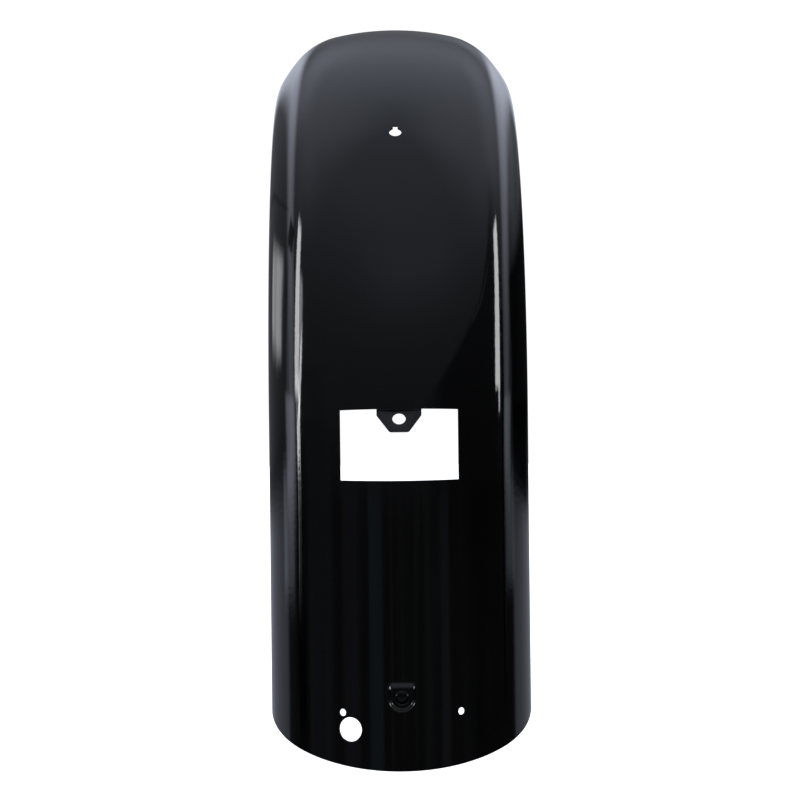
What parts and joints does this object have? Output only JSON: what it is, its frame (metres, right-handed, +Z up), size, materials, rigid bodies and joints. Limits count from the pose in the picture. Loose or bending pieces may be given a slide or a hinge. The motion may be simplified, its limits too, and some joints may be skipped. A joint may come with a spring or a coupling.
{
  "type": "motorcycle rear fender",
  "caption": "Deep pressed steel rear fender for a touring motorcycle, gloss black, with a tail lamp opening, a lamp tab, a boss pad and welded bolt plates inside.",
  "frame": {"origin": "bottom centre of the part's box, level with the tip of the tail", "axes": "+X across to the right seen from behind, +Y forward over the wheel, +Z up along the straight tail"},
  "size_m": [0.195, 0.4816, 0.585],
  "materials": {
    "gloss_black_paint": "high gloss black paint over pressed steel",
    "bracket_paint": "gloss black paint on welded brackets, thinner than on the outside",
    "nut_steel": "zinc plated steel"
  },
  "bodies": {
    "root": {"fender_shell": "gloss_black_paint", "lamp_tab": "bracket_paint", "pad_nut": "nut_steel", "left_strut_plate": "bracket_paint", "right_strut_plate": "bracket_paint", "front_plate": "bracket_paint", "weld_nuts": "nut_steel", "wire_clips": "bracket_paint"}
  },
  "joints": []
}
